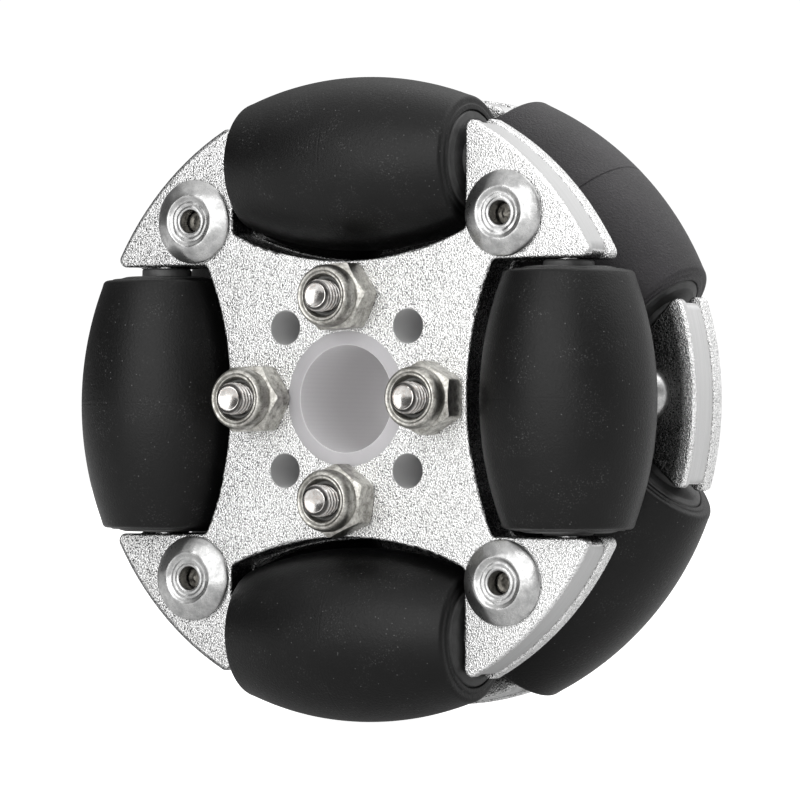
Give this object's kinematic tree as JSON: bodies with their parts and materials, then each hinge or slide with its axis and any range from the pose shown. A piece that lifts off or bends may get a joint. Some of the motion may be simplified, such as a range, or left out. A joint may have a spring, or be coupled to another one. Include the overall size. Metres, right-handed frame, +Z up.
{
  "type": "omni wheel",
  "caption": "Omni wheel with paired aluminium roller carriers on a nylon hub and free-spinning rubber rollers, for robots that drive in any direction.",
  "frame": {"origin": "on the wheel's axis, midway between the outer faces of the carriers, which is the middle of the axle bore", "axes": "+Y along the wheel's axis from the lock-nut side to the bolt-head side, +Z up, +X right seen from the lock-nut side; rollers of the lock-nut side's row sit at +X, +Z, -X and -Z"},
  "size_m": [0.06, 0.0309, 0.06],
  "materials": {
    "cast_aluminium": "cast and tumbled, fine sparkling grain",
    "rivet_aluminium": "satin, pressed",
    "mandrel_steel": "dull",
    "bolt_steel": "satin, rolled thread",
    "nut_steel": "satin, plated",
    "nut_nylon": "matte",
    "hub_nylon": "natural, slightly translucent",
    "axle_steel": "ground",
    "roller_rubber": "moulded, satin black",
    "roller_core_plastic": "moulded black",
    "bush_plastic": "moulded dark grey"
  },
  "bodies": {
    "wheel_hub": {"front_axle_pins": "axle_steel", "front_bottom_axle_bush": "bush_plastic", "front_carrier_casting": "cast_aluminium", "front_carrier_cover": "cast_aluminium", "front_left_axle_bush": "bush_plastic", "front_right_axle_bush": "bush_plastic", "front_rivet_mandrels": "mandrel_steel", "front_rivets": "rivet_aluminium", "front_top_axle_bush": "bush_plastic", "hub_spacer": "hub_nylon", "lock_nut_inserts": "nut_nylon", "lock_nuts": "nut_steel", "rear_axle_pins": "axle_steel", "rear_carrier_casting": "cast_aluminium", "rear_carrier_cover": "cast_aluminium", "rear_lower_left_axle_bush": "bush_plastic", "rear_lower_right_axle_bush": "bush_plastic", "rear_rivet_mandrels": "mandrel_steel", "rear_rivets": "rivet_aluminium", "rear_upper_left_axle_bush": "bush_plastic", "rear_upper_right_axle_bush": "bush_plastic", "through_bolts": "bolt_steel"},
    "front_right_roller": {"front_right_roller_core": "roller_core_plastic", "front_right_roller_sleeve": "roller_rubber"},
    "front_top_roller": {"front_top_roller_core": "roller_core_plastic", "front_top_roller_sleeve": "roller_rubber"},
    "front_left_roller": {"front_left_roller_core": "roller_core_plastic", "front_left_roller_sleeve": "roller_rubber"},
    "front_bottom_roller": {"front_bottom_roller_core": "roller_core_plastic", "front_bottom_roller_sleeve": "roller_rubber"},
    "rear_upper_right_roller": {"rear_upper_right_roller_core": "roller_core_plastic", "rear_upper_right_roller_sleeve": "roller_rubber"},
    "rear_upper_left_roller": {"rear_upper_left_roller_core": "roller_core_plastic", "rear_upper_left_roller_sleeve": "roller_rubber"},
    "rear_lower_left_roller": {"rear_lower_left_roller_core": "roller_core_plastic", "rear_lower_left_roller_sleeve": "roller_rubber"},
    "rear_lower_right_roller": {"rear_lower_right_roller_core": "roller_core_plastic", "rear_lower_right_roller_sleeve": "roller_rubber"}
  },
  "joints": [
    {"name": "front_right_roller_spin", "type": "hinge", "parent": "wheel_hub", "child": "front_right_roller", "pos_m": [0.0219, -0.00695, 0], "axis": [0, 0, 1], "continuous": true},
    {"name": "front_top_roller_spin", "type": "hinge", "parent": "wheel_hub", "child": "front_top_roller", "pos_m": [0, -0.00695, 0.0219], "axis": [-1, 0, 0], "continuous": true},
    {"name": "front_left_roller_spin", "type": "hinge", "parent": "wheel_hub", "child": "front_left_roller", "pos_m": [-0.0219, -0.00695, 0], "axis": [0, 0, -1], "continuous": true},
    {"name": "front_bottom_roller_spin", "type": "hinge", "parent": "wheel_hub", "child": "front_bottom_roller", "pos_m": [0, -0.00695, -0.0219], "axis": [1, 0, 0], "continuous": true},
    {"name": "rear_upper_right_roller_spin", "type": "hinge", "parent": "wheel_hub", "child": "rear_upper_right_roller", "pos_m": [0.01516, 0.00745, 0.01581], "axis": [-0.7218, 0, 0.6921], "continuous": true},
    {"name": "rear_upper_left_roller_spin", "type": "hinge", "parent": "wheel_hub", "child": "rear_upper_left_roller", "pos_m": [-0.01581, 0.00745, 0.01516], "axis": [-0.6921, 0, -0.7218], "continuous": true},
    {"name": "rear_lower_left_roller_spin", "type": "hinge", "parent": "wheel_hub", "child": "rear_lower_left_roller", "pos_m": [-0.01516, 0.00745, -0.01581], "axis": [0.7218, 0, -0.6921], "continuous": true},
    {"name": "rear_lower_right_roller_spin", "type": "hinge", "parent": "wheel_hub", "child": "rear_lower_right_roller", "pos_m": [0.01581, 0.00745, -0.01516], "axis": [0.6921, 0, 0.7218], "continuous": true}
  ]
}
